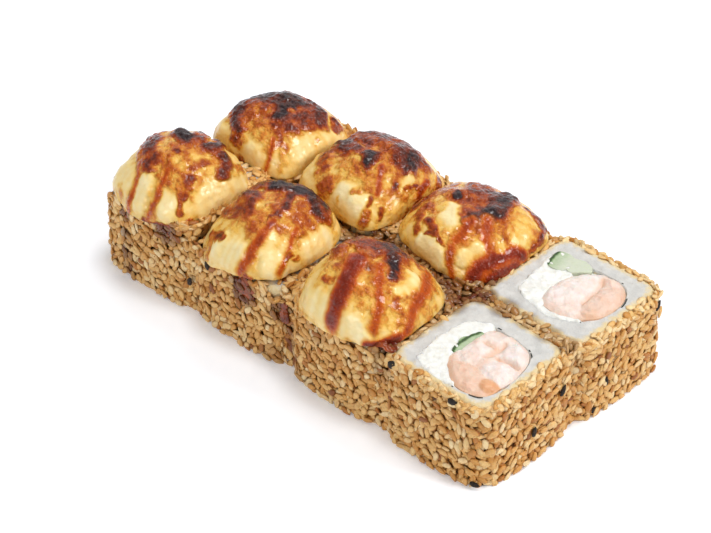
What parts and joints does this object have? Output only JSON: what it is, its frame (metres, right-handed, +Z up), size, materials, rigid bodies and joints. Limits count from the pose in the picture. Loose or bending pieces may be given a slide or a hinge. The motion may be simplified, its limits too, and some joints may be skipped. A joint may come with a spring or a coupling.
{
  "type": "sliced baked shrimp sushi roll",
  "caption": "Sesame-coated inside-out shrimp roll cut into square slices that stand in two rows; glossy torched cheese caps with sauce cover most, and the end slices show rice and filling.",
  "frame": {"origin": "middle of the footprint of the whole block of slices, on the surface it stands on", "axes": "+X along the rows towards the two open slices, -Y towards the front row, +Z up"},
  "size_m": [0.1344, 0.0712, 0.0377],
  "materials": {
    "sesame_rice": "toasted sesame seeds over cooked rice, satin",
    "torched_cheese": "melted cheese sauce, torched and glossy, with brown sauce",
    "cream_cheese": "soft white cheese, satin",
    "cucumber": "wet pale green flesh with a dark green skin",
    "shrimp": "moist pink and white cooked shrimp",
    "nori": "moist dark seaweed sheet"
  },
  "bodies": {
    "root": {"slice_front_1": "sesame_rice", "slice_front_2": "sesame_rice", "slice_front_3": "sesame_rice", "slice_front_4": "sesame_rice", "slice_back_1": "sesame_rice", "slice_back_2": "sesame_rice", "slice_back_3": "sesame_rice", "slice_back_4": "sesame_rice", "cap_front_1": "torched_cheese", "cap_front_2": "torched_cheese", "cap_front_3": "torched_cheese", "cap_back_1": "torched_cheese", "cap_back_2": "torched_cheese", "cap_back_3": "torched_cheese", "nori_front": "nori", "cream_cheese_front": "cream_cheese", "cucumber_front": "cucumber", "shrimp_front": "shrimp", "nori_back": "nori", "cream_cheese_back": "cream_cheese", "cucumber_back": "cucumber", "shrimp_back": "shrimp"}
  },
  "joints": []
}
